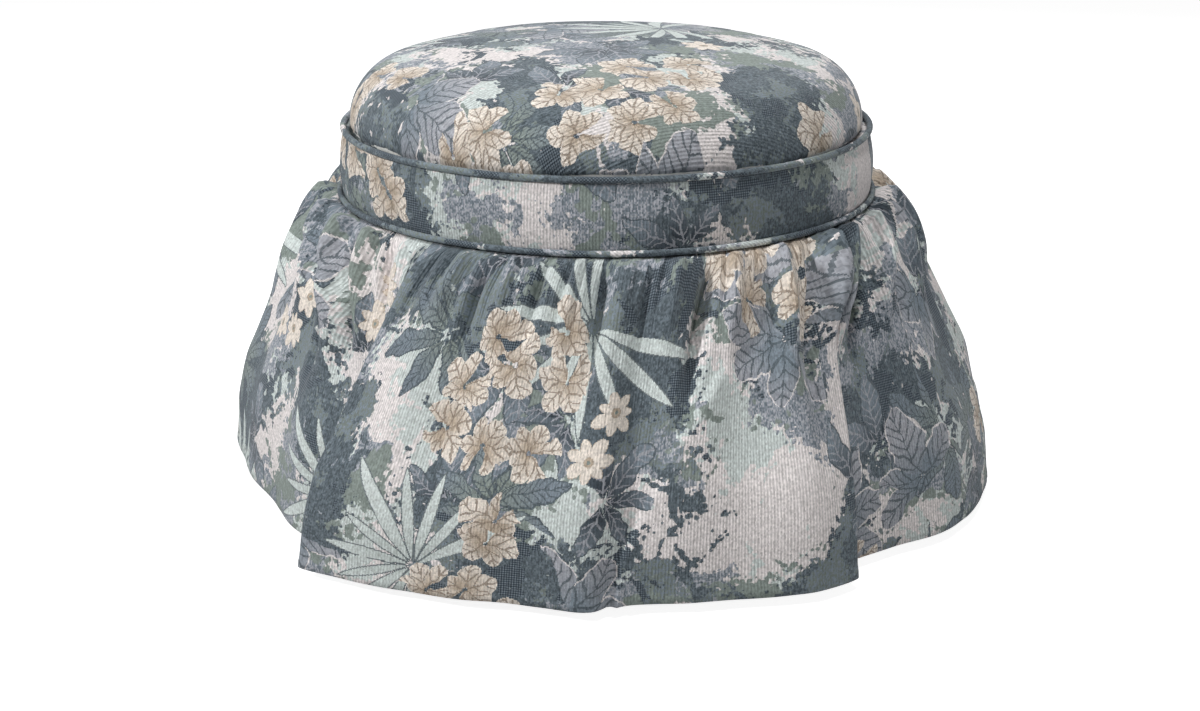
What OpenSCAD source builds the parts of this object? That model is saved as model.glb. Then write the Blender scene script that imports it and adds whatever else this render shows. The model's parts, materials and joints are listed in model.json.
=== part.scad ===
// Round storage ottoman: a drum on short feet with a welted band, a gathered skirt
// and a padded top that lifts straight off. The front is at -Y and the floor at zero.

/* [Skirt] */
// Height of the hem above the floor
hem_gap = 10; // [5:1:20]
// Height from the hem up to the lower welt
skirt_drop = 260; // [220:1:320]
// Mean radius of the hem, before its folds
hem_radius = 392; // [350:1:430]
// Thickness of the skirt's cloth with its backing
skirt_cloth = 1.6; // [1:0.1:3]
// Height of the wooden hoop that the skirt's heading is stapled to
hoop_height = 14; // [8:1:25]
// Thickness of that hoop
hoop_thickness = 8; // [5:0.5:12]

/* [Band] */
// Height from the lower welt to the upper welt
band_height = 62; // [45:1:90]
// Wadding between the drum and the band at the upper welt
band_padding = 5; // [3:0.5:9]
// How far the band swells out halfway up
band_swell = 3.5; // [0:0.5:8]
// Thickness of the patterned cloth
cover_cloth = 1.3; // [0.8:0.1:2]
// Radius of the covered welt cords
cord_radius = 3.2; // [2:0.1:5]

/* [Drum] */
// Outer radius of the drum's wall
drum_radius = 250; // [220:1:290]
// Thickness of the bent wall board
wall_thickness = 5; // [3:0.5:8]
// Radial depth of the uprights
upright_depth = 15; // [12:1:25]
// Width of an upright
upright_width = 42; // [25:1:60]
// Number of uprights
upright_count = 8; // [6:1:12]
// Thickness of the inner wall board
liner_thickness = 2; // [1:0.5:4]
// Thickness of the plywood base
base_thickness = 15; // [12:1:20]
// Thickness of the plywood rim
rim_thickness = 15; // [12:1:25]
// Thickness of the board on the compartment's floor
floor_thickness = 3; // [2:0.5:6]
// Thickness of the plain lining cloth
lining_cloth = 1; // [0.6:0.1:2]
// Thickness of the dust cloth under the base
dust_cloth = 0.8; // [0.5:0.1:1.5]

/* [Feet] */
// Height of a wooden foot
foot_height = 20; // [16:1:30]
// Radius of a foot where it meets the base
foot_radius = 22; // [18:1:30]
// Radius of a foot at its toe
foot_toe = 17; // [15:1:25]
// Distance of a foot's centre in from the edge of the base
foot_inset = 45; // [35:1:80]
// Height of the plastic glide under a foot
glide_height = 4; // [3:0.5:6]
// Radius of that glide
glide_radius = 13; // [8:1:15]
// Radius of a foot's bolt
bolt_radius = 4; // [3:0.5:5]
// Depth of that bolt in the foot
bolt_depth = 14; // [8:1:14]
// Wall of the threaded barrel that takes the bolt
barrel_wall = 1.4; // [1:0.1:2]
// Radius of the barrel's flange
flange_radius = 11; // [9:0.5:14]
// Thickness of that flange
flange_thickness = 1.4; // [1:0.1:2]

/* [Top] */
// Play between the top's side and the upper welt
side_play = 4; // [2:0.5:8]
// Radius of the round shoulder
shoulder_radius = 60; // [40:1:75]
// Height of the shoulder's centre above the seat
shoulder_lift = 7.5; // [7:0.5:15]
// Slope of the crown where it meets the shoulder, in degrees
crown_slope = 10; // [6:1:16]
// Radius of the turn at the lower edge
edge_radius = 5; // [3:0.5:6]
// Thickness of the wadding over the foam
top_wadding = 8; // [5:0.5:12]
// Thickness of the top's plywood board
board_thickness = 12; // [10:1:18]
// Thickness of the disc that finds the rim
locator_thickness = 12; // [9:1:18]
// Play between that disc and the rim
locator_play = 2; // [1:0.5:4]
// Width of bare board between the disc and the turned-in cover
turn_play = 1; // [0.5:0.5:3]

/* [Fasteners] */
// Radius of a wood screw's shank
screw_radius = 2; // [1.5:0.1:2.5]
// Radius of its head
screw_head = 4; // [3:0.1:5]
// Height of its head
head_height = 2.6; // [2:0.1:4]
// Length of the screws in the frame
frame_screw = 40; // [30:1:50]
// Length of the screws in the top
top_screw = 20; // [16:1:21]
// Number of screws in the top
top_screws = 6; // [4:1:8]
// Distance of those screws in from the edge of their disc
top_screw_inset = 45; // [20:1:80]
// Width of a staple
staple_width = 10; // [6:1:14]
// Length of its legs
staple_leg = 6; // [4:0.5:8]
// Thickness of its wire
staple_wire = 0.7; // [0.5:0.1:0.7]
// Number of staples in a row round the drum or the top
staple_count = 16; // [12:1:24]

/* [Hidden] */
$fn = 96;

// Gap between soft pieces that lie against each other
soft_gap = 0.3;
// Gap round metal pieces set in wood or cloth
set_gap = 0.1;
// Overrun of every cut
overrun = 2;
// Gap between the skirt's two widths at their seams
seam_gap = 0.6;

// Radii of the drum, from the outside in
wall_in = drum_radius - wall_thickness;
liner_out = wall_in - upright_depth;
liner_in = liner_out - liner_thickness;
lining_in = liner_in - lining_cloth;
mouth_radius = liner_in - cover_cloth;
upright_middle = (wall_in + liner_out) / 2;
upright_start = 180 / upright_count;
foot_circle = wall_in - foot_inset;
foot_count = 4;
foot_angle = 45;
barrel_radius = bolt_radius + set_gap + barrel_wall;

// Radii of the band and its welts
band_low = drum_radius + hoop_thickness + cover_cloth;
band_high = drum_radius + band_padding + cover_cloth;
lower_ring = band_low + cord_radius + soft_gap;
upper_ring = band_high;

// Heights, from the floor up
base_z = glide_height + foot_height;
floor_z = base_z + base_thickness;
lower_z = hem_gap + skirt_drop;
upper_z = lower_z + band_height;
seat_z = upper_z - cord_radius - soft_gap;
rim_z = seat_z - cover_cloth;
rim_low = rim_z - rim_thickness;
hoop_low = lower_z - hoop_height;

// The top: a shoulder arc that runs on into one flat arc over the crown
top_radius = upper_ring - cord_radius - side_play;
shoulder_middle = top_radius - shoulder_radius;
shoulder_z = seat_z + shoulder_lift;
shoulder_end = 90 - crown_slope;
crown_radius = shoulder_radius + shoulder_middle / cos(shoulder_end);
crown_z = shoulder_z - (crown_radius - shoulder_radius) * sin(shoulder_end);
board_low = seat_z + cover_cloth;
board_high = board_low + board_thickness;
board_radius = top_radius - cover_cloth - top_wadding;
foam_depth = cover_cloth + top_wadding;
foam_turn = asin((board_high - shoulder_z) / (shoulder_radius - foam_depth));
locator_low = board_low - locator_thickness;
locator_radius = mouth_radius - locator_play;
turn_radius = locator_radius + turn_play;
top_staple_ring = (turn_radius + board_radius) / 2;
top_screw_ring = locator_radius - top_screw_inset;

// Steps along the arcs of the top and the band
crown_steps = 5;
shoulder_steps = 14;
edge_steps = 4;
band_steps = 8;

// Folds of the hem, going round from the seam at the left: each is the turn from the
// front in degrees, the share of the hem radius, and the turn of the same cloth at the
// heading. Where the turn of the hem runs backwards, the cloth folds over itself.
fold_shares = [
  [-100, 0.985, -100], [-86, 0.975, -88], [-72, 0.95, -76], [-58, 0.943, -64],
  [-45, 0.97, -52], [-35.5, 0.957, -43], [-32.5, 0.99, -38], [-39, 1.075, -33],
  [-32, 1.058, -28], [-22, 1.04, -18], [-13, 1.022, -8], [-3, 1.042, 3],
  [2, 1.007, 11], [13, 1.018, 23], [25, 1.05, 35], [31.5, 1.042, 44],
  [28.5, 0.975, 48], [33, 0.973, 52], [41, 0.985, 57], [50, 1.02, 63],
  [60, 1.025, 70], [68, 1.01, 76], [76, 0.97, 82], [87, 0.985, 91],
  [98, 1, 100], [105, 1.01, 108], [101.5, 0.955, 113], [108, 0.95, 118],
  [120, 1, 127], [132, 1.035, 137], [141, 0.985, 145], [152, 0.985, 154],
  [164, 1.045, 164], [170, 1.04, 171], [166.5, 0.975, 176], [173, 0.97, 181],
  [185, 1.04, 190], [196, 1.03, 199], [205, 0.972, 206], [213.5, 0.96, 213],
  [216, 0.995, 218], [210.5, 1.06, 223], [220, 1.045, 230], [238, 1.005, 243]
];
// The skirt's fall from its heading to the hem: share of the drop, share of the reach
fall_shares = [
  [0, 0], [0.03, 0.1], [0.1, 0.25], [0.22, 0.39], [0.36, 0.54], [0.5, 0.69],
  [0.66, 0.86], [0.82, 0.95], [1, 1]
];
// Columns of cloth from one fold point to the next
fold_columns = 3;
fold_count = len(fold_shares);
panel_columns = fold_count * fold_columns / 2;
heading_z = lower_z - cord_radius - soft_gap;
heading_radius = band_low + soft_gap + skirt_cloth;

// A point in plan at a turn from the front
function spot(turn, radius) = [radius * sin(turn), -radius * cos(turn)];

// The hem's fold points in plan, and a smooth closed curve through them
hem_spots = [for (fold = fold_shares) spot(fold[0], fold[1] * hem_radius)];
function hem_spot(i) = hem_spots[(i + fold_count) % fold_count];
function curve(a, b, c, d, s) =
  b + s * ((c - a) + s * ((2 * a - 5 * b + 4 * c - d) + s * (3 * b - a - 3 * c + d))) / 2;
function hem_curve(column) =
  let (i = floor(column / fold_columns), s = column / fold_columns - i)
  curve(hem_spot(i - 1), hem_spot(i), hem_spot(i + 1), hem_spot(i + 2), s);

// The heading runs round evenly from each fold point to the next
function heading_turn(i) = fold_shares[i % fold_count][2] + 360 * floor(i / fold_count);
function heading_curve(column) =
  let (i = floor(column / fold_columns), s = column / fold_columns - i)
  spot(heading_turn(i) + s * (heading_turn(i + 1) - heading_turn(i)), heading_radius);

// A point of the skirt's outer face in plan, and the way the cloth runs there
function around(column) = (column + 2 * panel_columns) % (2 * panel_columns);
function cloth_spot(column, reach) =
  let (at = around(column), top = heading_curve(at))
  top + (hem_curve(at) - top) * reach;
function unit(v) = v / norm(v);
function cloth_run(column, reach) = unit(cloth_spot(column + 1, reach) - cloth_spot(column - 1, reach));

// A point of one width of cloth: its ends stop short of the seams, and depth goes in from
// the outer face
function panel_point(first, column, fall, depth) =
  let (
    run = cloth_run(first + column, fall[1]),
    trim = column == 0 ? seam_gap / 2 : column == panel_columns ? -seam_gap / 2 : 0,
    plan = cloth_spot(first + column, fall[1]) + run * trim + [-run[1], run[0]] * depth
  )
  [plan[0], plan[1], heading_z - (heading_z - hem_gap) * fall[0]];

// The two triangles of a face with four corners
function two_faces(a, b, c, d) = [[a, b, c], [a, c, d]];
function flat(lists) = [for (list = lists, item = list) item];
function reverse(list) = [for (i = [len(list) - 1:-1:0]) list[i]];

// Points along an arc, and the same without the first one
function arc(x, y, radius, from, to, steps) =
  [for (i = [0:steps]) let (turn = from + (to - from) * i / steps)
    [x + radius * cos(turn), y + radius * sin(turn)]];
function arc_on(x, y, radius, from, to, steps) =
  let (all = arc(x, y, radius, from, to, steps)) [for (i = [1:steps]) all[i]];

// The band's outline from the lower welt to the rim, at a depth under its surface
function band_line(depth) = [
  for (i = [0:band_steps]) let (s = i / band_steps)
    [band_low + (band_high - band_low) * s + band_swell * 4 * s * (1 - s) - depth,
     lower_z + (rim_z - lower_z) * s]
];

// The top's outline from the middle of the crown, at a depth under its surface
function crown_line(depth, end) = concat(
  arc(0, crown_z, crown_radius - depth, 90, shoulder_end, crown_steps),
  arc_on(shoulder_middle, shoulder_z, shoulder_radius - depth, shoulder_end, end, shoulder_steps)
);
function top_line(depth) = concat(
  crown_line(depth, 0),
  arc(top_radius - edge_radius, seat_z + edge_radius, edge_radius - depth, 0, -90, edge_steps)
);

// A disc and a ring between two heights
module disc(radius, low, high) {
  translate([0, 0, low]) cylinder(h = high - low, r = radius);
}
module ring(inner, outer, low, high) {
  difference() {
    disc(outer, low, high);
    disc(inner, low - overrun, high + overrun);
  }
}

// Copies of a piece round the axis
module round_copies(count, radius, start) {
  for (i = [0:count - 1])
    rotate([0, 0, start + 360 * i / count])
      translate([radius, 0, 0])
        children();
}

// A countersunk screw that points down from its head, and with a gap the hole for it
module screw(length, gap = 0) {
  translate([0, 0, -length - gap])
    cylinder(h = length + gap, r = screw_radius + gap);
  translate([0, 0, -head_height])
    cylinder(h = head_height, r1 = screw_radius + gap, r2 = screw_head + gap);
  if (gap > 0)
    cylinder(h = overrun, r = screw_head + gap);
}
module screws_in_base(gap = 0) {
  round_copies(upright_count, upright_middle, upright_start)
    translate([0, 0, base_z])
      mirror([0, 0, 1])
        screw(frame_screw, gap);
}
module screws_in_rim(gap = 0) {
  round_copies(upright_count, upright_middle, upright_start)
    translate([0, 0, rim_z])
      screw(frame_screw, gap);
}
module screws_in_top(gap = 0) {
  round_copies(top_screws, top_screw_ring, 0)
    translate([0, 0, locator_low])
      mirror([0, 0, 1])
        screw(top_screw, gap);
}

// A staple whose legs point up from its crown, and with a gap the slot for it
module staple(gap = 0) {
  thick = staple_wire + 2 * gap;
  for (side = [-1, 1])
    translate([-thick / 2, side * (staple_width - staple_wire) / 2 - thick / 2, -gap])
      cube([thick, thick, staple_leg + 2 * gap]);
  translate([-thick / 2, -staple_width / 2 - gap, -gap])
    cube([thick, staple_width + 2 * gap, thick]);
}
staple_sink = (cover_cloth - staple_wire) / 2;
module staples_in_top(gap = 0) {
  round_copies(staple_count, top_staple_ring, 0)
    translate([0, 0, seat_z + staple_sink])
      staple(gap);
}
module staples_in_rim(gap = 0) {
  round_copies(staple_count, mouth_radius + staple_sink, 0)
    translate([0, 0, (rim_low + rim_z) / 2])
      rotate([0, 90, 0])
        staple(gap);
}

// A foot's bolt and the flanged barrel that takes it
module foot_bolt(gap = 0) {
  translate([0, 0, base_z - bolt_depth - gap])
    cylinder(h = bolt_depth + base_thickness - flange_thickness + gap, r = bolt_radius + gap);
}
module barrel(gap = 0) {
  translate([0, 0, gap > 0 ? base_z - overrun : base_z + flange_thickness])
    cylinder(h = base_thickness + (gap > 0 ? overrun : -flange_thickness), r = barrel_radius + gap);
  translate([0, 0, floor_z - flange_thickness - gap])
    cylinder(h = flange_thickness + (gap > 0 ? overrun : 0), r = flange_radius + gap);
}

// One width of the skirt's cloth: rows of outer points, then rows of inner points
module cloth_panel(first) {
  last_row = len(fall_shares) - 1;
  wide = panel_columns + 1;
  inner = len(fall_shares) * wide;
  points = [
    for (depth = [0, skirt_cloth], fall = fall_shares, column = [0:panel_columns])
      panel_point(first, column, fall, depth)
  ];
  faces = flat(concat(
    [for (r = [0:last_row - 1], c = [0:panel_columns - 1]) let (a = r * wide + c, b = a + wide)
      two_faces(a, a + 1, b + 1, b)],
    [for (r = [0:last_row - 1], c = [0:panel_columns - 1]) let (a = inner + r * wide + c, b = a + wide)
      two_faces(a, b, b + 1, a + 1)],
    [for (c = [0:panel_columns - 1]) two_faces(c, inner + c, inner + c + 1, c + 1)],
    [for (c = [0:panel_columns - 1]) let (a = last_row * wide + c)
      two_faces(a, a + 1, inner + a + 1, inner + a)],
    [for (r = [0:last_row - 1]) let (a = r * wide) two_faces(a, a + wide, inner + a + wide, inner + a)],
    [for (r = [0:last_row - 1]) let (a = r * wide + panel_columns)
      two_faces(a + wide, a, inner + a, inner + a + wide)]
  ));
  polyhedron(points, faces);
}

// A welt: cloth sewn round a cord
module welt(radius, height) {
  translate([0, 0, height])
    rotate_extrude()
      translate([radius, 0])
        circle(r = cord_radius);
}

module base_board() {
  color("burlywood")
    difference() {
      disc(wall_in, base_z, floor_z);
      round_copies(foot_count, foot_circle, foot_angle) barrel(set_gap);
      screws_in_base(set_gap);
    }
}
module drum_wall() {
  color("peru") ring(wall_in, drum_radius, base_z, rim_z);
}
module uprights() {
  color("wheat")
    difference() {
      intersection() {
        ring(liner_out, wall_in, floor_z, rim_low);
        round_copies(upright_count, 0, upright_start)
          translate([0, -upright_width / 2, floor_z])
            cube([drum_radius, upright_width, rim_low - floor_z]);
      }
      screws_in_base(set_gap);
      screws_in_rim(set_gap);
    }
}
module rim_ring() {
  color("burlywood")
    difference() {
      ring(liner_in, wall_in, rim_low, rim_z);
      screws_in_rim(set_gap);
      staples_in_rim(set_gap);
    }
}
module liner_wall() {
  color("tan") ring(liner_in, liner_out, floor_z, rim_low);
}
module wall_lining() {
  color("silver") ring(lining_in, liner_in, floor_z, rim_low);
}
module floor_board() {
  color("tan") disc(lining_in - soft_gap, floor_z, floor_z + floor_thickness);
}
module floor_lining() {
  low = floor_z + floor_thickness;
  color("silver") disc(lining_in - soft_gap, low, low + lining_cloth);
}
module dust_cover() {
  color("dimgray")
    difference() {
      disc(wall_in, base_z - dust_cloth, base_z);
      round_copies(foot_count, foot_circle, foot_angle)
        disc(foot_radius + soft_gap, base_z - dust_cloth - overrun, base_z + overrun);
    }
}
module feet() {
  color("saddlebrown")
    round_copies(foot_count, foot_circle, foot_angle)
      difference() {
        translate([0, 0, glide_height]) cylinder(h = foot_height, r1 = foot_toe, r2 = foot_radius);
        foot_bolt(set_gap);
      }
}
module foot_bolts() {
  color("silver") round_copies(foot_count, foot_circle, foot_angle) foot_bolt();
}
module foot_nuts() {
  color("silver")
    round_copies(foot_count, foot_circle, foot_angle)
      difference() {
        barrel();
        disc(bolt_radius + set_gap, base_z, floor_z + overrun);
      }
}
module glides() {
  color("dimgray") round_copies(foot_count, foot_circle, foot_angle) disc(glide_radius, 0, glide_height);
}
module base_screws() {
  color("goldenrod") screws_in_base();
}
module rim_screws() {
  color("goldenrod") screws_in_rim();
}
module band_wadding() {
  color("white")
    rotate_extrude()
      polygon(concat([[drum_radius, rim_z], [drum_radius, lower_z]], band_line(cover_cloth)));
}
module band_cover() {
  color("slategray")
    rotate_extrude()
      polygon(concat(
        [[band_low, hoop_low]],
        band_line(0),
        [[band_high, seat_z], [band_high - cover_cloth, seat_z]],
        reverse(band_line(cover_cloth)),
        [[band_low - cover_cloth, hoop_low]]
      ));
}
module rim_facing() {
  color("slategray")
    difference() {
      rotate_extrude()
        polygon([
          [mouth_radius, rim_low], [liner_in, rim_low], [liner_in, rim_z],
          [band_high - cover_cloth, rim_z], [band_high - cover_cloth, seat_z], [mouth_radius, seat_z]
        ]);
      staples_in_rim(set_gap);
    }
}
module rim_staples() {
  color("silver") staples_in_rim();
}
module upper_welt() {
  color("lightsteelblue") welt(upper_ring, upper_z);
}
module lower_welt() {
  color("lightsteelblue") welt(lower_ring, lower_z);
}
module skirt_hoop() {
  color("burlywood") ring(drum_radius, drum_radius + hoop_thickness, hoop_low, lower_z);
}
module skirt_front() {
  color("lightslategray") cloth_panel(0);
}
module skirt_back() {
  color("lightslategray") cloth_panel(panel_columns);
}
module top_cover() {
  color("slategray")
    difference() {
      rotate_extrude()
        polygon(concat(
          top_line(0),
          [[turn_radius, seat_z], [turn_radius, board_low]],
          reverse(top_line(cover_cloth))
        ));
      staples_in_top(set_gap);
    }
}
module top_wrap() {
  color("white")
    rotate_extrude()
      polygon(concat(
        top_line(cover_cloth),
        [[board_radius, board_low], [board_radius, board_high]],
        reverse(crown_line(foam_depth, foam_turn))
      ));
}
module top_foam() {
  color("khaki")
    rotate_extrude()
      polygon(concat([[0, board_high]], reverse(crown_line(foam_depth, foam_turn))));
}
module top_board() {
  color("burlywood")
    difference() {
      disc(board_radius, board_low, board_high);
      screws_in_top(set_gap);
      staples_in_top(set_gap);
    }
}
module top_locator() {
  color("burlywood")
    difference() {
      disc(locator_radius, locator_low, board_low);
      screws_in_top(set_gap);
    }
}
module top_lining() {
  color("silver") disc(locator_radius - turn_play, locator_low - lining_cloth, locator_low);
}
module locator_screws() {
  color("goldenrod") screws_in_top();
}
module top_staples() {
  color("silver") staples_in_top();
}

base_board();
drum_wall();
uprights();
rim_ring();
liner_wall();
wall_lining();
floor_board();
floor_lining();
dust_cover();
feet();
foot_bolts();
foot_nuts();
glides();
base_screws();
rim_screws();
band_wadding();
band_cover();
rim_facing();
rim_staples();
upper_welt();
lower_welt();
skirt_hoop();
skirt_front();
skirt_back();
top_cover();
top_wrap();
top_foam();
top_board();
top_locator();
top_lining();
locator_screws();
top_staples();
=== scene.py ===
# Round storage ottoman: padded loose top, welted band, gathered skirt
import json
import math

import bmesh
import bpy
import numpy as np
from mathutils import Matrix, Vector, noise


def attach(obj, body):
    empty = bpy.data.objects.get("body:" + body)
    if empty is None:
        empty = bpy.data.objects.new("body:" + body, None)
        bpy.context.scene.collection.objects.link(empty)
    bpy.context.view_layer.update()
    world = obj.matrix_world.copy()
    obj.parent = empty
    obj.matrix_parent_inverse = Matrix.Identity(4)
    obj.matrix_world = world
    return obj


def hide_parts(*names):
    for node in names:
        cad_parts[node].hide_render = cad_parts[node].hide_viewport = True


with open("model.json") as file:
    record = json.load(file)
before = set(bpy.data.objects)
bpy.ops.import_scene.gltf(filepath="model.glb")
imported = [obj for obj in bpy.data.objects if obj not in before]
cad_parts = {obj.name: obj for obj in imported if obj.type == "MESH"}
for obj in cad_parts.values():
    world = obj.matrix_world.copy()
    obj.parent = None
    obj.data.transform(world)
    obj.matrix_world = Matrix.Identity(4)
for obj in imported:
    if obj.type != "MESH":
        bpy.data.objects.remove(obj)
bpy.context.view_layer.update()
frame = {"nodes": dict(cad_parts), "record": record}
print("frame loaded:", len(frame["nodes"]), "nodes")


# camera, floor and light

cameraView = {"place": (-0.0061, -1.536, 0.645), "tilt": 69.9, "lens": 47.22, "sensor": 36}
studio = {
    "floorReach": 4.2,
    "floorColour": (0.6, 0.6, 0.6, 1.0),
    "floorGlow": 0.88,  # seen by the camera only, so the shadow stays
    "skyLight": 0.09,
    "lamps": [  # name, place, aim, size, watts
        ("keyLamp", (-2.1, -1.15, 1.9), (0, 0, 0.2), 0.4, 52),
        ("fillLamp", (2.2, -1.9, 1.0), (0, 0, 0.2), 0.9, 13),
        ("overLamp", (0.1, -0.4, 2.4), (0, 0, 0.3), 0.6, 23),
        ("backLamp", (0.4, 2.2, 1.8), (0, 0, 0.3), 1.6, 22),
    ],
}


def addCamera(view):
    lens = bpy.data.cameras.new("photoCamera")
    lens.sensor_fit = "HORIZONTAL"
    lens.sensor_width = view["sensor"]
    lens.lens = view["lens"]
    lens.clip_start, lens.clip_end = 0.05, 60
    camera = bpy.data.objects.new("photoCamera", lens)
    camera.location = view["place"]
    camera.rotation_euler = (math.radians(view["tilt"]), 0, 0)
    bpy.context.scene.collection.objects.link(camera)
    bpy.context.scene.camera = camera


def addLamp(name, place, aim, size, watts):
    light = bpy.data.lights.new(name, "AREA")
    light.shape = "DISK"
    light.size = size
    light.energy = watts
    lamp = bpy.data.objects.new(name, light)
    lamp.location = place
    lamp.rotation_euler = (Vector(aim) - Vector(place)).to_track_quat("-Z", "Y").to_euler()
    bpy.context.scene.collection.objects.link(lamp)


addCamera(cameraView)
for lamp in studio["lamps"]:
    addLamp(*lamp)
bpy.context.scene.view_settings.view_transform = "Standard"
print("camera and lamps placed")


# node trees


class Wire:
    # a value on its way through a node tree, so that formulas can be written out
    def __init__(self, socket):
        self.socket = socket

    def __getitem__(self, name):
        # another output of the same node
        return Wire(self.socket.node.outputs[name])

    def __add__(self, other):
        return calc("ADD", self, other)

    def __sub__(self, other):
        return calc("SUBTRACT", self, other)

    def __rsub__(self, other):
        return calc("SUBTRACT", other, self)

    def __mul__(self, other):
        return calc("MULTIPLY", self, other)

    def __truediv__(self, other):
        return calc("DIVIDE", self, other)

    def __rtruediv__(self, other):
        return calc("DIVIDE", other, self)

    def __lt__(self, other):
        return calc("LESS_THAN", self, other)

    def __gt__(self, other):
        return calc("GREATER_THAN", self, other)


def feed(node, inputs):
    for name, value in inputs.items():
        if isinstance(value, Wire):
            node.id_data.links.new(value.socket, node.inputs[name])
        else:
            node.inputs[name].default_value = value


def addNode(tree, kind, inputs=None, **settings):
    node = tree.nodes.new(kind)
    for name, value in settings.items():
        setattr(node, name, value)
    feed(node, inputs or {})
    return Wire(node.outputs[0])


def treeOf(values):
    return next(value.socket.id_data for value in values if isinstance(value, Wire))


def calc(operation, *values):
    return addNode(treeOf(values), "ShaderNodeMath", dict(enumerate(values)), operation=operation)


def shift(operation, *values):
    return addNode(treeOf(values), "ShaderNodeVectorMath", dict(enumerate(values)), operation=operation)


def scaled(vector, amount):
    inputs = {0: vector, "Scale": amount}
    return addNode(treeOf([vector]), "ShaderNodeVectorMath", inputs, operation="SCALE")


def parts(vector):
    return addNode(treeOf([vector]), "ShaderNodeSeparateXYZ", {0: vector})


def fade(value, low, high, start=0.0, end=1.0):
    limits = {"Value": value, "From Min": low, "From Max": high, "To Min": start, "To Max": end}
    return addNode(treeOf([value]), "ShaderNodeMapRange", limits)


def blendColour(amount, first, second):
    inputs = {0: amount, 6: first, 7: second}
    return addNode(treeOf([amount]), "ShaderNodeMix", inputs, data_type="RGBA")[2]


def cloud(place, scale, detail, space="2D", **more):
    inputs = {"Vector": place, "Scale": scale, "Detail": detail, **more}
    return addNode(treeOf([place]), "ShaderNodeTexNoise", inputs, noise_dimensions=space)


def newGroup(name, inputs, outputs):
    # inputs and outputs are names in a row, for each kind of socket
    tree = bpy.data.node_groups.new(name, "ShaderNodeTree")
    for side, sockets in (("INPUT", inputs), ("OUTPUT", outputs)):
        for kind, labels in sockets.items():
            for label in labels.split():
                tree.interface.new_socket(name=label, in_out=side, socket_type="NodeSocket" + kind)
    return tree, Wire(tree.nodes.new("NodeGroupInput").outputs[0]), tree.nodes.new("NodeGroupOutput")


def useGroup(tree, group, **inputs):
    return addNode(tree, "ShaderNodeGroup", inputs, node_tree=bpy.data.node_groups[group])


def tone(red, green, blue):
    levels = [v / 255 for v in (red, green, blue)]
    return tuple(v / 12.92 if v <= 0.04045 else ((v + 0.055) / 1.055) ** 2.4 for v in levels) + (1.0,)


def newMaterial(name):
    material = bpy.data.materials.new(name)
    material.use_nodes = True
    tree = material.node_tree
    return material, tree, tree.nodes["Principled BSDF"]


def addBump(tree, shader, height, strength, distance):
    bump = {"Strength": strength, "Distance": distance, "Height": height}
    feed(shader, {"Normal": addNode(tree, "ShaderNodeBump", bump)})


def objectPoint(tree):
    return addNode(tree, "ShaderNodeTexCoord")["Object"]


def flatPoint(tree):
    return addNode(tree, "ShaderNodeUVMap", uv_map="flatCloth")


# floor and world


def placeMesh(name, bm):
    mesh = bpy.data.meshes.new(name)
    bm.to_mesh(mesh)
    bm.free()
    placed = bpy.data.objects.new(name, mesh)
    bpy.context.scene.collection.objects.link(placed)
    return placed


def makeFloor(settings):
    bm = bmesh.new()
    bmesh.ops.create_circle(bm, cap_ends=True, segments=64, radius=settings["floorReach"])
    floor = placeMesh("studioFloor", bm)
    material, tree, shader = newMaterial("studioFloor")
    feed(shader, {"Base Color": settings["floorColour"], "Roughness": 0.9, "Specular IOR Level": 0.0})
    rays = addNode(tree, "ShaderNodeLightPath")
    seen = calc("MAXIMUM", rays["Is Camera Ray"], rays["Is Glossy Ray"])
    glow = addNode(tree, "ShaderNodeEmission", {"Strength": seen * settings["floorGlow"]})
    both = addNode(tree, "ShaderNodeAddShader", {0: Wire(shader.outputs[0]), 1: glow})
    feed(tree.nodes["Material Output"], {"Surface": both})
    floor.data.materials.append(material)


def makeWorld(settings):
    world = bpy.data.worlds.new("studioWorld")
    world.use_nodes = True
    tree = world.node_tree
    rays = addNode(tree, "ShaderNodeLightPath")
    seen = calc("MAXIMUM", rays["Is Camera Ray"], rays["Is Glossy Ray"])
    seen = calc("MAXIMUM", seen, rays["Is Transmission Ray"])
    sky = fade(seen, 0, 1, settings["skyLight"], 1.0)
    feed(tree.nodes["Background"], {"Color": (1, 1, 1, 1), "Strength": sky})
    bpy.context.scene.world = world


makeFloor(studio)
makeWorld(studio)


# tapestry: woven foliage cloth. Its UV map is in metres of flat cloth.

yarn = {
    "paleWarm": tone(228, 222, 221),
    "paleMint": tone(203, 211, 209),
    "lavender": tone(163, 165, 172),
    "blueGrey": tone(120, 131, 140),
    "slate": tone(80, 90, 96),
    "navy": tone(54, 63, 71),
    "sage": tone(131, 141, 136),
    "tan": tone(178, 163, 146),
    "cream": tone(224, 215, 205),
    "umber": tone(138, 124, 110),
}
weave = {
    "yarnStep": (0.0008, 0.001, 1.0),  # a shape can only change from one yarn to the next
    "ribPitch": 0.0028,
    "dotPitch": 0.0042,
    "speckleStep": (0.0011, 0.0017, 1.0),
    "bend": 0.016,
    "bump": (0.75, 0.0008),
}
masses = {  # size of a patch, size of its tufts, cover, seed
    "mint": (0.12, 0.014, -0.02, 1.3),
    "haze": (0.1, 0.014, -0.05, 4.6),
    "hazeSage": (0.12, 0.03, 0.0, 7.7),
    "night": (0.125, 0.015, -0.062, 9.2),
    "glade": (0.07, 0.013, -0.16, 21.4),
    "deep": (0.07, 0.015, -0.16, 12.9),
}
sprigParts = "Seed Cell Leaves Start Length Width Point Bend Fan Rim VeinPitch Zone Rarity"
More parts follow.
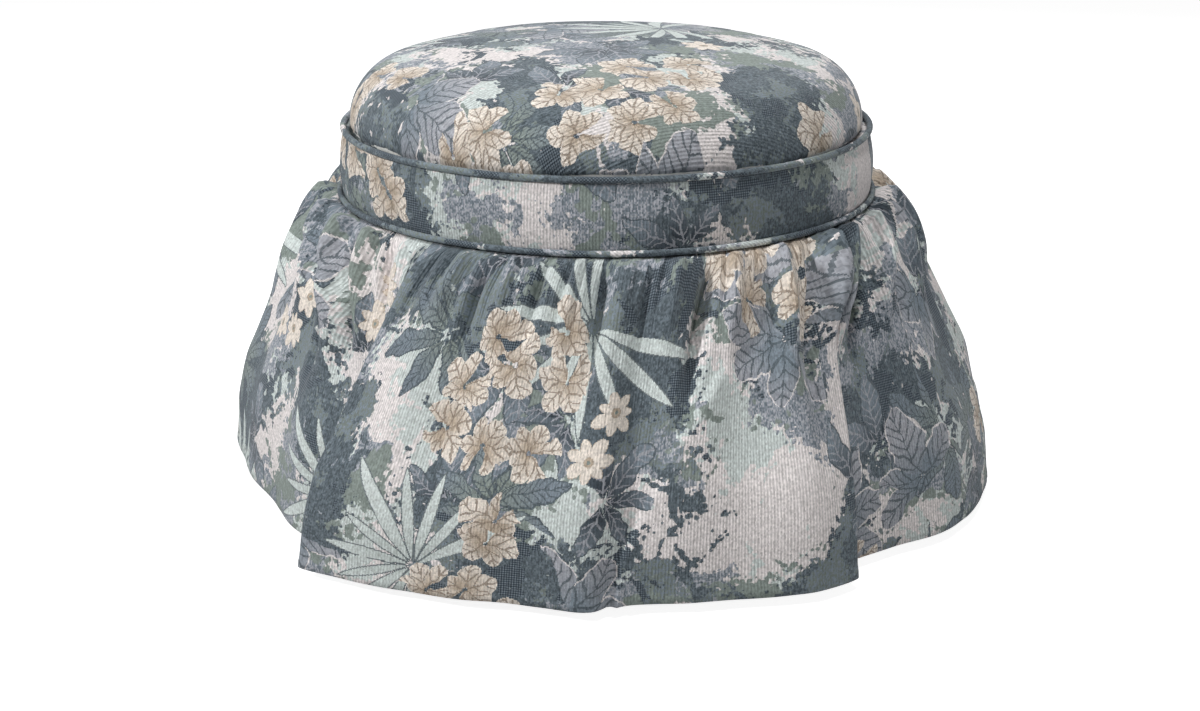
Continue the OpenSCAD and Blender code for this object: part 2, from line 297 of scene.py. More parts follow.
# the foliage in the cloth, from the lowest layer to the highest, and its yarns: leaf, tip, rim and vein
sprigs = {
    "darkSpray": (
        (2.1, 0.12, 7, 0.004, 0.06, 0.2, 0.9, 8, 0.7, 0.0014, 0.008, 0.2, 0.5),
        ("navy", "blueGrey", "slate", "lavender"),
    ),
    "sageFrond": (
        (5.3, 0.15, 8, 0.006, 0.066, 0.17, 0.8, 9, 0.6, 0.0014, 0.006, 0.2, 0.53),
        ("sage", "blueGrey", "slate", "slate"),
    ),
    "broadLeaf": (
        (8.7, 0.15, 5.6, 0.002, 0.074, 0.3, 0.6, 4, 0.55, 0.0013, 0.0105, 0.22, 0.52),
        ("blueGrey", "lavender", "paleWarm", "slate"),
    ),
    "bladeFan": (
        (11.9, 0.23, 15, 0.004, 0.1, 0.07, 0.7, 7, 0.7, 0.0011, 0.3, 0.25, 0.51),
        ("sage", "paleMint", "slate", "paleMint"),
    ),
    "tanCluster": (
        (14.2, 0.05, 6, 0.002, 0.028, 0.42, 0.5, 12, 0.9, 0.0012, 0.0085, 0.19, 0.675),
        ("tan", "cream", "cream", "umber"),
    ),
    "blossom": (
        (17.4, 0.043, 7, 0.0, 0.021, 0.27, 0.62, 0, 1.0, 0.0006, 0.3, 0.14, 0.77),
        ("cream", "cream", "tan", "cream"),
    ),
}
unbent = ("bladeFan", "blossom")  # the others wave a little
fullTurn = 6.2832


def seededPlace(tree, given, slant):
    move = addNode(tree, "ShaderNodeCombineXYZ", {0: given["Seed"], 1: given["Seed"] * slant})
    return shift("ADD", given["Vector"], move)


def buildMassGroup():
    # ragged foliage silhouettes: a soft patch whose edge is eaten by tufts
    inputs = {"Vector": "Vector", "Float": "Patch Tuft Cover Seed"}
    tree, given, made = newGroup("foliageMass", inputs, {"Float": "Mask"})
    place = seededPlace(tree, given, 0.7)
    broad = cloud(place, 1.0 / given["Patch"], 1.0, Roughness=0.45)
    tuftScale = 1.0 / given["Tuft"]
    tufts = cloud(place, tuftScale * 0.55, 3.0, Roughness=0.6, Distortion=0.6)
    cells = {"Vector": place, "Scale": tuftScale * 2.6}
    teeth = addNode(tree, "ShaderNodeTexVoronoi", cells, voronoi_dimensions="2D")
    depth = ((broad - 0.5) * 2.2 + given["Cover"]) * 1.5
    depth = (tufts - 0.5) * 1.9 + depth
    depth = (0.42 - teeth) * 0.42 + depth
    feed(made, {"Mask": fade(depth, -0.012, 0.012)})


def buildSprigGroup():
    # a sprig stamped once in each cell: leaves, blades or petals round a point
    inputs = {"Vector": "Vector", "Float": sprigParts}
    tree, given, made = newGroup("sprigStamp", inputs, {"Float": "Mask Rim Vein Along Reach Random"})
    place = seededPlace(tree, given, -0.6)
    cells = addNode(
        tree,
        "ShaderNodeTexVoronoi",
        {"Vector": scaled(place, 1.0 / given["Cell"]), "Scale": 1.0, "Randomness": 0.7},
        voronoi_dimensions="2D",
    )
    middle = scaled(cells["Position"], given["Cell"])
    local = parts(shift("SUBTRACT", place, middle))
    chance = addNode(tree, "ShaderNodeSeparateColor", {0: cells["Color"]})
    reach = calc("SQRT", local[0] * local[0] + local[1] * local[1])
    lean = (chance[1] - 0.5) * given["Bend"]
    angle = chance[0] * fullTurn + (reach * lean + calc("ARCTAN2", local[1], local[0]))
    turns = angle / fullTurn
    inFan = calc("ABSOLUTE", calc("FRACT", turns) - 0.5) < given["Fan"] * 0.5
    leafTurn = turns * given["Leaves"]
    offAxis = (calc("FRACT", leafTurn) - 0.5) * fullTurn / given["Leaves"]
    along = reach * calc("COSINE", offAxis)
    across = calc("ABSOLUTE", reach * calc("SINE", offAxis))
    leafNumber = calc("FLOOR", leafTurn)
    leafKey = addNode(tree, "ShaderNodeCombineXYZ", {0: leafNumber, 1: chance[0], 2: chance[1]})
    leafChance = addNode(tree, "ShaderNodeTexWhiteNoise", {"Vector": leafKey}, noise_dimensions="3D")
    length = given["Length"] * (leafChance * 0.4 + 0.7)
    inside = addNode(tree, "ShaderNodeClamp", {0: (along - given["Start"]) / length})
    swell = inside * (1.0 - inside) * 4.0
    room = calc("POWER", swell, given["Point"]) * (length * given["Width"]) - across
    gate = cloud(shift("ADD", middle, (3.1, 1.7, 0.0)), 1.0 / given["Zone"], 0.0)
    present = gate > given["Rarity"]
    mask = (room > 0.0) * (inFan * present)
    rib = across < given["Rim"] * 0.55
    veins = calc("FRACT", (across * -0.9 + along) / given["VeinPitch"]) < 0.22
    feed(
        made,
        {
            "Mask": mask,
            "Rim": (room < given["Rim"]) * mask,
            "Vein": calc("MAXIMUM", rib, veins) * mask,
            "Along": inside,
            "Reach": (1.0 - present) * 9.0 + reach,
            "Random": leafChance,
        },
    )


def buildWeaveGroup():
    # weave structures: warp ribs, small diamonds and a speckle of mixed yarns
    tree, given, made = newGroup("weaveFace", {"Vector": "Vector"}, {"Float": "Ribs Dots Speckle"})
    cloth = given["Vector"]
    x, y = parts(cloth)[0], parts(cloth)[1]
    wander = cloud(cloth, 90.0, 1.0)
    dotX = calc("SINE", (x + y) * fullTurn / weave["dotPitch"])
    dotY = calc("SINE", (x - y) * fullTurn / weave["dotPitch"])
    step = shift("SNAP", cloth, weave["speckleStep"])
    speckle = addNode(tree, "ShaderNodeTexWhiteNoise", {"Vector": step}, noise_dimensions="2D")
    feed(
        made,
        {
            "Ribs": calc("SINE", wander * 1.6 + x * fullTurn / weave["ribPitch"]) * 0.5 + 0.5,
            "Dots": dotX * dotY * 0.5 + 0.5,
            "Speckle": (speckle - 0.5) * 0.6 + cloud(cloth, 260.0, 2.0),
        },
    )


def buildTapestryGroup():
    inputs = {"Vector": "Vector", "Float": "Dusk Sprigs"}
    tree, given, made = newGroup("verdureCloth", inputs, {"Color": "Colour", "Float": "Height Gloss"})
    woven = shift("SNAP", given["Vector"], weave["yarnStep"])
    waves = shift("SUBTRACT", cloud(woven, 34.0, 2.0)["Color"], (0.5, 0.5, 0.5))
    bent = shift("ADD", woven, scaled(waves, weave["bend"]))
    face = useGroup(tree, "weaveFace", Vector=given["Vector"])

    def mass(name, dusk=0.0):
        patch, tuft, cover, seed = masses[name]
        numbers = {"Patch": patch, "Tuft": tuft, "Cover": dusk + cover, "Seed": seed}
        return useGroup(tree, "foliageMass", Vector=woven, **numbers)

    def mixYarns(structure, low, high, most, first, second):
        return blendColour(fade(face[structure], low, high, 0.0, most), yarn[first], yarn[second])

    # ground, then masses of foliage over it
    colour = blendColour(mass("mint"), yarn["paleWarm"], yarn["paleMint"])
    haze = mass("haze")
    hazeColour = mixYarns("Speckle", 0.3, 0.7, 1.0, "blueGrey", "lavender")
    colour = blendColour(haze, colour, blendColour(mass("hazeSage"), hazeColour, yarn["sage"]))
    # Dusk widens the dark masses; on the welts' cloth it is partly the cord's own slate yarn and partly
    # painted shade
    night = mass("night", given["Dusk"])
    nightColour = mixYarns("Speckle", 0.25, 0.8, 0.45, "slate", "blueGrey")
    gladeColour = mixYarns("Speckle", 0.35, 0.65, 1.0, "sage", "blueGrey")
    nightColour = blendColour(mass("glade") * 0.8, nightColour, gladeColour)
    deepColour = mixYarns("Dots", 0.45, 0.7, 0.75, "navy", "blueGrey")
    colour = blendColour(night, colour, blendColour(mass("deep"), nightColour, deepColour))

    raised = night * 0.3
    pale = 1.0 - calc("MAXIMUM", night, haze)
    for name, (shape, yarns) in sprigs.items():
        place = woven if name in unbent else bent
        sprig = useGroup(tree, "sprigStamp", Vector=place, **dict(zip(sprigParts.split(), shape)))
        first, second, rim, vein = (yarn[key] for key in yarns)
        tip = fade(sprig["Along"] * 0.75 + sprig["Random"] * 0.35, 0.25, 0.75)
        leaf = blendColour(tip, first, second)
        leaf = blendColour(sprig["Vein"] * 0.8, leaf, vein)
        leaf = blendColour(sprig["Rim"] * 0.85, leaf, rim)
        mask = sprig["Mask"]
        if name == "blossom":  # its eye and the pip in the eye
            eye = sprig["Reach"] < 0.0042
            leaf = blendColour(eye, leaf, yarn["tan"])
            leaf = blendColour(sprig["Reach"] < 0.0016, leaf, yarn["sage"])
            mask = calc("MAXIMUM", mask, eye)
        mask = mask * given["Sprigs"]
        colour = blendColour(mask, colour, leaf)
        pale = pale * (1.0 - mask * 0.5)
        raised = calc("MAXIMUM", raised, mask * (1.0 - sprig["Vein"]))

    # each yarn shows: ribs on the pale ground, speckle everywhere. The ribs' grooves are also darkened in
    # the colour: painted shade, over the bump that gives them their relief
    paintedRibShade = face["Ribs"] * (pale * 0.2 + 0.12) * -1.0 + 1.1
    shade = paintedRibShade * fade(face["Speckle"], 0.1, 0.9, 0.76, 1.24)
    height = face["Ribs"] * -0.45 + raised
    height = face["Dots"] * night * 0.3 + height
    height = face["Speckle"] * 0.35 + height
    gloss = fade(raised, 0, 1, 0.92, 0.78)
    feed(made, {"Colour": scaled(colour, shade), "Height": height, "Gloss": gloss})


def makeTapestry(name, dusk, sprigShare):
    material, tree, shader = newMaterial(name)
    cloth = useGroup(tree, "verdureCloth", Vector=flatPoint(tree), Dusk=dusk, Sprigs=sprigShare)
    feed(shader, {"Base Color": cloth["Colour"], "Roughness": cloth["Gloss"], "Specular IOR Level": 0.25})
    feed(shader, {"Sheen Weight": 0.12, "Sheen Roughness": 0.45})
    addBump(tree, shader, cloth["Height"], *weave["bump"])
    return material


buildMassGroup()
buildSprigGroup()
buildWeaveGroup()
buildTapestryGroup()
tapestry = makeTapestry("tapestry", 0.0, 1.0)
# the welts' cloth: the tapestry without sprigs and with more of its dark foliage, partly the welts' own
# slate yarn and partly painted shade for the shadow the lower welt sits in
weltCloth = makeTapestry("weltCloth", 0.16, 0.0)
print("tapestry made")


# materials of the wood, metal, padding and plain cloths


def buildPlainGroups():
    outputs = {"Color": "Colour", "Float": "Height"}
    inputs = {"Vector": "Vector Stretch", "Color": "Light Dark"}
    tree, given, made = newGroup("timberGrain", inputs, outputs)
    place = shift("MULTIPLY", given["Vector"], given["Stretch"])
    lines = calc("FRACT", cloud(place, 6.0, 5.0, "3D", Distortion=0.6) * 9.0)
    amount = cloud(place, 80.0, 3.0, "3D") * 0.5 + lines * 0.5
    colour = blendColour(fade(amount, 0.25, 0.8), given["Dark"], given["Light"])
    feed(made, {"Colour": colour, "Height": amount})

    inputs = {"Vector": "Vector", "Float": "Pitch", "Color": "Light Dark"}
    tree, given, made = newGroup("plainWeave", inputs, outputs)
    part = parts(given["Vector"])
    warp, weft = (calc("SINE", part[k] * fullTurn / given["Pitch"]) for k in (0, 1))
    knots = warp * weft * 0.5 + 0.5
    slub = cloud(shift("MULTIPLY", given["Vector"], (1.0, 0.06, 1.0)), 420.0, 2.0, "3D")
    soft = cloud(given["Vector"], 14.0, 3.0, "3D")
    amount = knots * 0.3 + (slub * 0.4 + soft * 0.5)
    colour = blendColour(fade(amount, 0.3, 0.9), given["Dark"], given["Light"])
    feed(made, {"Colour": colour, "Height": knots})


def makeTimber(name, light, dark, stretch, roughness, coat=0.0, plies=0.0):
    material, tree, shader = newMaterial(name)
    place = objectPoint(tree)
    colours = {"Light": tone(*light), "Dark": tone(*dark)}
    grain = useGroup(tree, "timberGrain", Vector=place, Stretch=stretch, **colours)
    colour = grain["Colour"]
    if plies:  # the cut edge shows the veneers, each turned across the next
        normal = parts(addNode(tree, "ShaderNodeNewGeometry")["True Normal"])[2]
        edge = calc("ABSOLUTE", normal) < 0.5
        layer = calc("FRACT", parts(place)[2] / (plies * 2)) > 0.5
        colour = blendColour(edge * layer * 0.55, colour, colours["Dark"])
    rough = fade(grain["Height"], 0, 1, roughness - 0.08, roughness + 0.1)
    feed(shader, {"Base Color": colour, "Roughness": rough, "Coat Weight": coat, "Coat Roughness": 0.25})
    addBump(tree, shader, grain["Height"], 0.35, 0.0004)
    return material


def makePlainCloth(name, light, dark, pitch, roughness, bump):
    material, tree, shader = newMaterial(name)
    colours = {"Light": tone(*light), "Dark": tone(*dark)}
    cloth = useGroup(tree, "plainWeave", Vector=flatPoint(tree), Pitch=pitch, **colours)
    feed(shader, {"Base Color": cloth["Colour"], "Roughness": roughness, "Sheen Weight": 0.1})
    addBump(tree, shader, cloth["Height"], bump, 0.0004)
    return material


def makeSteel():
    material, tree, shader = newMaterial("zincSteel")
    scratch = cloud(objectPoint(tree), 900.0, 4.0, "3D")
    bloom = cloud(objectPoint(tree), 120.0, 2.0, "3D")
    colour = blendColour(bloom, tone(176, 180, 182), tone(208, 209, 204))
    rough = fade(scratch, 0.3, 0.7, 0.28, 0.48)
    feed(shader, {"Base Color": colour, "Roughness": rough, "Metallic": 1.0})
    addBump(tree, shader, scratch, 0.15, 0.0002)
    return material


def makePorous(name, light, dark, scale, roughness, bump, sheen):
    material, tree, shader = newMaterial(name)
    place = objectPoint(tree)
    cells = addNode(tree, "ShaderNodeTexVoronoi", {"Vector": place, "Scale": scale})
    amount = cells * 0.6 + cloud(place, scale * 0.12, 4.0, "3D") * 0.6
    colour = blendColour(fade(amount, 0.3, 0.9), tone(*dark), tone(*light))
    feed(shader, {"Base Color": colour, "Roughness": roughness, "Sheen Weight": sheen})
    addBump(tree, shader, amount, bump, 0.0006)
    return material


buildPlainGroups()
finishes = {
    "plywood": makeTimber("birchPly", (222, 199, 164), (180, 148, 108), (1, 0.12, 1), 0.55, plies=0.0015),
    "fibreboard": makePorous("fibreboard", (172, 140, 104), (134, 104, 74), 700.0, 0.8, 0.3, 0.0),
    "pine": makeTimber("pineBlock", (230, 204, 160), (196, 158, 108), (1, 1, 0.06), 0.6),
    "stained_wood": makeTimber("stainedFoot", (70, 50, 38), (38, 26, 19), (1, 1, 0.1), 0.4, coat=0.4),
    "zinc_steel": makeSteel(),
    "glide_plastic": makePorous("glidePlastic", (62, 62, 64), (46, 46, 48), 1400.0, 0.42, 0.12, 0.0),
    "foam": makePorous("creamFoam", (236, 226, 190), (206, 192, 150), 900.0, 0.95, 0.6, 0.1),
    "wadding": makePorous("whiteWadding", (240, 240, 236), (208, 208, 204), 260.0, 0.98, 0.8, 0.3),
}
liningCloth = makePlainCloth("liningCotton", (206, 206, 202), (170, 171, 168), 0.0012, 0.9, 0.4)
dustCloth = makePlainCloth("dustFelt", (58, 58, 60), (34, 34, 36), 0.0021, 0.97, 0.5)
hemThread = makePorous("hemThread", (150, 158, 160), (96, 104, 108), 2600.0, 0.6, 0.3, 0.2)

slotOf = {row["node"]: row["material_slot"] for row in frame["record"]["subparts"]}
for name, node in frame["nodes"].items():
    if slotOf[name] in finishes:
        for slot in node.material_slots:
            slot.material = finishes[slotOf[name]]
print("plain materials made")


# helpers for meshes


def addPiece(name, bm, material, body):
    piece = placeMesh(name, bm)
    piece.data.materials.append(material)
    piece.data.shade_smooth()
    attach(piece, body)
    return piece


def thicken(piece, thickness, even=True):
    wall = piece.modifiers.new("clothThickness", "SOLIDIFY")
    wall.thickness = thickness
    wall.offset = -1.0
    wall.use_even_offset = even


def spinRound(bm, steps):
    around = {"cent": (0, 0, 0), "axis": (0, 0, 1), "angle": math.tau, "steps": steps}
    bmesh.ops.spin(bm, geom=bm.verts[:] + bm.edges[:], use_merge=True, **around)
    bmesh.ops.remove_doubles(bm, verts=bm.verts[:], dist=1e-6)
    bmesh.ops.recalc_face_normals(bm, faces=bm.faces[:])


def spinLine(points, steps):
    # a line of (radius, height) points turned once round the middle
    bm = bmesh.new()
    verts = [bm.verts.new((radius, 0, height)) for radius, height in points]
    for pair in zip(verts, verts[1:]):
        bm.edges.new(pair)
    spinRound(bm, steps)
    return bm


def bell(value, width):
    return np.exp(-((value / width) ** 2))


def wave(value, pitch):
    return np.sin(value * 2 * np.pi / pitch)


def turnOf(point):
    # the turn round the drum, from the front and towards +X
    return math.atan2(point.x, -point.y)


def pointNormalsOut(bm, test):
    # turns the faces round where they look the wrong way for this test
    score = sum(face.normal.dot(test(face.calc_center_median())) * face.calc_area() for face in bm.faces)
    if score < 0:
        bmesh.ops.reverse_faces(bm, faces=bm.faces[:])


def paintUv(bm, rule, clothPlace=(0, 0)):
    # the rule lays a point flat, in metres; clothPlace moves it to its place in the pattern
    layer = bm.loops.layers.uv.new("flatCloth")
    for face in bm.faces:
        middle = face.calc_center_median()
        for loop in face.loops:
            x, y = rule(loop.vert.co, middle)
            loop[layer].uv = (x + clothPlace[0], y + clothPlace[1])


def nearTurn(turn, near):
    # the same turn, on the same side of the join as another
    return turn - math.tau * round((turn - near) / math.tau)


def turnNear(point, middle):
    return nearTurn(turnOf(point), turnOf(middle))


def ripple(point, size, seed=0.0):
    return noise.noise(Vector((point[0] / size + seed, point[1] / size, point[2] / size)))


def roundCorner(points, radius, steps):
    # softens the inner corners of a line of points
    made = [points[0]]
    for before, corner, after in zip(points, points[1:], points[2:]):
        before, corner, after = Vector(before), Vector(corner), Vector(after)
        start = corner + (before - corner).normalized() * radius
        end = corner + (after - corner).normalized() * radius
        for i in range(steps + 1):
            s = i / steps
            made.append(tuple(start * (1 - s) ** 2 + corner * 2 * s * (1 - s) + end * s * s))
    return made + [points[-1]]


# top: padded cover over foam on a board

topPad = {
    "radius": 0.2491,
    "shoulder": 0.060,
    "shoulderZ": 0.336,
    "crownSlope": 10.0,
    "edge": 0.005,
    "seatZ": 0.3285,
    "turnIn": 0.2257,
    "cloth": 0.0013,
    "steps": 160,
    "heldDepth": 0.004,  # the lowest cloth, which is tacked down
    "blend": 0.03,  # over this height the form goes from tacked to slack
    "slack": 0.0022,  # how much smaller the form is before it is filled
    "voxel": 0.006,
    "pressure": 4.0,
    "frames": 20,
    "swellCap": 0.0045,
    "overForm": (0.0001, 0.0022),  # how far the filled cloth may stand over its outline
    "tug": 0.00035,
    "tugHeight": 0.034,  # how far up the pull of the tacks shows
    "tugs": (29, 4, 17),  # how many go round: the main ones, their straying and the others
    "uneven": (0.09, 0.0008),  # size and height, outwards
    "unevenCrown": (0.11, 0.0012),  # the same, upwards
    "grainTurn": 72.0,
    "clothPlace": (1.59, 2.156),
}


def arcPoints(x, z, radius, start, end, steps):
    turns = [math.radians(start + (end - start) * i / steps) for i in range(steps + 1)]
    return [(x + radius * math.cos(t), z + radius * math.sin(t)) for t in turns]


def crownArc(pad):
    # shoulder arc's middle, angle where crown and shoulder meet, crown's radius and its middle's height
    middle = pad["radius"] - pad["shoulder"]
    end = 90 - pad["crownSlope"]
    crown = pad["shoulder"] + middle / math.cos(math.radians(end))
    crownZ = pad["shoulderZ"] - (crown - pad["shoulder"]) * math.sin(math.radians(end))
    return middle, end, crown, crownZ


def topOutline(pad, depth):
    middle, end, crown, crownZ = crownArc(pad)
    line = arcPoints(0, crownZ, crown - depth, 90, end, 24)
    line += arcPoints(middle, pad["shoulderZ"], pad["shoulder"] - depth, end, 0, 20)[1:]
    edge = pad["edge"]
    line += arcPoints(pad["radius"] - edge, pad["seatZ"] + edge, edge - depth, 0, -90, 6)
    line[0] = (0.0, line[0][1])
    return line


def readPoints(mesh):
    points = np.empty(len(mesh.vertices) * 3)
    mesh.vertices.foreach_get("co", points)
    return points.reshape(-1, 3)


def inflate(piece, pad):
    # the cloth is filled: a short cloth simulation with air pressure
    remesh = piece.modifiers.new("remesh", "REMESH")
    remesh.mode = "VOXEL"
    remesh.voxel_size = pad["voxel"]
    bpy.context.view_layer.objects.active = piece
    with bpy.context.temp_override(object=piece, active_object=piece):
        bpy.ops.object.modifier_apply(modifier="remesh")
    start = readPoints(piece.data)
    held = piece.vertex_groups.new(name="held")
    held.add(np.nonzero(start[:, 2] < pad["seatZ"] + pad["heldDepth"])[0].tolist(), 1.0, "REPLACE")
    cloth = piece.modifiers.new("filled", "CLOTH")
    cloth.settings.quality = 4
    cloth.settings.use_pressure = True
    cloth.settings.uniform_pressure_force = pad["pressure"]
    cloth.settings.effector_weights.gravity = 0.0
    cloth.settings.vertex_group_mass = "held"
    cloth.point_cache.frame_start = 1
    cloth.point_cache.frame_end = pad["frames"]
    for step in range(1, pad["frames"] + 1):
        bpy.context.scene.frame_set(step)
    move = readPoints(piece.evaluated_get(bpy.context.evaluated_depsgraph_get()).to_mesh()) - start
    far = np.linalg.norm(move, axis=1, keepdims=True)
    move *= np.minimum(1.0, pad["swellCap"] / np.maximum(far, 1e-9))
    print("  filling moved the cloth by up to", round(float(far.max()) * 1000, 1), "mm before the cap")
    piece.modifiers.remove(cloth)
    bpy.context.scene.frame_set(1)
    piece.data.vertices.foreach_set("co", (start + move).ravel())
    piece.data.update()
    piece.vertex_groups.clear()


def overOutline(pad, point):
    # how far a point stands over the top's outline, and the way outwards there
    reach, z = point.xy.length, point.z
    way = point.xy / max(reach, 1e-9)
    middle, end, crown, crownZ = crownArc(pad)
    if z < pad["shoulderZ"]:
        return reach - pad["radius"], Vector((way.x, way.y, 0))
    if math.atan2(z - pad["shoulderZ"], reach - middle) < math.radians(end) and reach > middle:
        centre, radius = Vector((middle, pad["shoulderZ"])), pad["shoulder"]
    else:
        centre, radius = Vector((0, crownZ)), crown
    line = Vector((reach, z)) - centre
    out = line.normalized()
    return line.length - radius, Vector((way.x * out.x, way.y * out.x, out.y))


def makeTopCover(pad):
    slack = pad["slack"]
    line = []
    for full, small in zip(topOutline(pad, 0.0), topOutline(pad, slack)):
        share = min(1.0, max(0.0, (full[1] - pad["seatZ"] - pad["heldDepth"]) / pad["blend"]))
        line.append(tuple(Vector(full).lerp(Vector(small), share)))
    line.append((0.0, line[-1][1]))
    form = placeMesh("topCover", spinLine(line, pad["steps"]))
    inflate(form, pad)
    bm = bmesh.new()
    bm.from_mesh(form.data)
    bpy.data.objects.remove(form)
    low = min(v.co.z for v in bm.verts)
    middles = {face: face.calc_center_median() for face in bm.faces}
    inner = [face for face, middle in middles.items() if middle.xy.length < pad["turnIn"]]
    under = [face for face in inner if middles[face].z < low + pad["heldDepth"]]
    bmesh.ops.delete(bm, geom=under, context="FACES")
    for vert in [v for v in bm.verts if v.is_boundary]:
        vert.co.xy *= pad["turnIn"] / max(vert.co.xy.length, 1e-6)
    free = [v for v in bm.verts if not v.is_boundary and v.co.z > low + 0.01]
    bmesh.ops.smooth_vert(bm, verts=free, factor=0.5, use_axis_x=True, use_axis_y=True, use_axis_z=True)
    bmesh.ops.subdivide_edges(bm, edges=bm.edges[:], cuts=1, use_grid_fill=True, smooth=0.0)
    least, most = pad["overForm"]
    for vert in bm.verts:  # the filled cloth lies on the wadding, nowhere in it
        if vert.co.z > low + 0.006:
            over, out = overOutline(pad, vert.co)
            vert.co += out * (min(max(over, least), most) - over)
    # the pull of the tacks gathers the lower edge a little, and the crown isn't quite even
    many, straying, few = pad["tugs"]
    (size, high), (crownSize, crownHigh) = pad["uneven"], pad["unevenCrown"]
    for vert in bm.verts:
        reach, above = vert.co.xy.length, vert.co.z - pad["seatZ"]
        if reach < 1e-5:
            continue
        turn = turnOf(vert.co)
        share = max(0.0, 1 - max(0.0, above) / pad["tugHeight"])
        tug = math.sin(turn * many + 2.2 * math.sin(turn * straying)) + math.sin(turn * few + 1.3)
        out = vert.co.xy / reach
        if vert.co.z > pad["seatZ"] + 0.002:
            uneven = ripple(vert.co, size) * high * min(1, reach / 0.2)
            vert.co.xy += out * (tug * share * share * pad["tug"] + uneven)
            vert.co.z += ripple(vert.co, crownSize, 5.0) * crownHigh * min(1.0, above / 0.03)
    bm.normal_update()
    pointNormalsOut(bm, lambda c: Vector((c.x, c.y, c.z - pad["shoulderZ"])))
    turn = math.radians(pad["grainTurn"])
    crownZ = max(v.co.z for v in bm.verts)

    def rule(point, middle):
        # the round of cloth, laid flat from the middle of the crown out over the shoulder and under
        reach = point.xy.length
        drop = max(0.0, crownZ - point.z)
        length = math.hypot(reach, drop) + 0.35 * max(0.0, drop - 0.02)
        if point.z < pad["seatZ"] + 0.003:
            length += max(0.0, pad["radius"] - reach) * 1.2
        grow = length / max(reach, 1e-6)
        x, y = point.x * grow, point.y * grow
        return (x * math.cos(turn) - y * math.sin(turn), x * math.sin(turn) + y * math.cos(turn))

    paintUv(bm, rule, pad["clothPlace"])
    cover = addPiece("topCover", bm, tapestry, "top")
    thicken(cover, pad["cloth"])
    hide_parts("top_cover")


makeTopCover(topPad)
print("top cover made")


# band between the welts, and the cloth over the rim

band = {
    "low": 0.2593,
    "high": 0.2563,
    "swell": 0.0035,
    "steps": 300,
    "tailZ": 0.2565,
    "lowerZ": 0.270,
    "rimZ": 0.3272,
    "seatZ": 0.3285,
    "pinch": 0.0003,
    "pinches": (61, 9),  # how many go round, and how often they stray
    "uneven": ((0.035, 3.0, 0.0007), (0.012, 9.0, 0.0002)),  # size, seed and height
    "seamDip": 0.0011,  # it is joined at the back
    "seamHalf": 0.0016,
    "cloth": 0.0013,
    "clothPlace": (2.039, 1.306),
}
rimFacing = {
    "mouth": 0.2267,
    "outer": 0.2549,
    "top": 0.3285,
    "low": 0.3124,
    "corner": 0.0028,
    "step": 0.004,
    "girthRadius": 0.24,
    "steps": 260,
    "tuck": 0.00035,
    "tucks": (72, 7),  # how many go round, and how often they stray
    "cloth": 0.0012,
    "clothPlace": (0.4, 1.9),
}


def makeBand(cut):
    line = [(cut["low"], cut["tailZ"]), (cut["low"], cut["lowerZ"] - 0.002)]
    tall = cut["rimZ"] - cut["lowerZ"]
    for i in range(15):
        s = i / 14
        reach = cut["low"] + (cut["high"] - cut["low"]) * s + cut["swell"] * 4 * s * (1 - s)
        line.append((reach, cut["lowerZ"] + tall * s))
    line.append((cut["high"], cut["seatZ"]))
    bm = spinLine(line, cut["steps"])
    pointNormalsOut(bm, lambda c: Vector((c.x, c.y, 0)))
    paintUv(bm, lambda p, m: (turnNear(p, m) * cut["low"], p.z), cut["clothPlace"])
    many, straying = cut["pinches"]
    for vert in bm.verts:
        turn = turnOf(vert.co)
        share = (vert.co.z - cut["lowerZ"]) / tall
        free = max(0.0, 4 * share * (1 - share))
        uneven = sum(ripple(vert.co, size, seed) * high for size, seed, high in cut["uneven"])
        pinch = cut["pinch"] * math.sin(turn * many + math.sin(turn * straying))
        pinch *= max(0.0, 1 - abs(share - 0.02) / 0.16)
        seam = -cut["seamDip"] * bell((abs(turn) - math.pi) * 0.259, cut["seamHalf"])
        if share > -0.02:
            lift = uneven * free + pinch * min(1.0, free * 4) + seam * min(1.0, free * 3)
            vert.co.xy *= 1 + lift / vert.co.xy.length
    piece = addPiece("bandCover", bm, tapestry, "base")
    thicken(piece, cut["cloth"])
    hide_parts("band_cover")


def makeRimFacing(cut):
    corners = [(cut["mouth"], cut["low"]), (cut["mouth"], cut["top"]), (cut["outer"], cut["top"])]
    line = roundCorner(corners, cut["corner"], 5)
    fine = []
    for a, b in zip(line, line[1:]):
        count = max(1, round(math.dist(a, b) / cut["step"]))
        fine += [tuple(np.array(a) + (np.array(b) - np.array(a)) * i / count) for i in range(count)]
    bm = spinLine(fine + [line[-1]], cut["steps"])
    pointNormalsOut(bm, lambda c: Vector((-c.x, -c.y, (c.xy.length > cut["mouth"] + 0.001) * 9.0)))

    def rule(point, middle):
        over, drop = point.xy.length - cut["mouth"], cut["top"] - point.z
        across = over + drop if drop < 0.001 else over - drop
        return (turnNear(point, middle) * cut["girthRadius"], across)

    paintUv(bm, rule, cut["clothPlace"])
    many, straying = cut["tucks"]
    for vert in bm.verts:  # small tucks where the cloth turns down into the mouth
        turn = turnOf(vert.co)
        near = bell(vert.co.xy.length - cut["mouth"] - 0.003, 0.008)
        if vert.co.z > cut["top"] - 0.001:
            pull = 0.5 + 0.5 * math.sin(turn * many + 2 * math.sin(turn * straying))
            vert.co.z -= cut["tuck"] * near * pull
    piece = addPiece("rimFacing", bm, tapestry, "base")
    thicken(piece, cut["cloth"])
    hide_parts("rim_facing")


makeBand(band)
makeRimFacing(rimFacing)
print("band and rim facing made")


# welts: cord covered in cloth cut on the bias

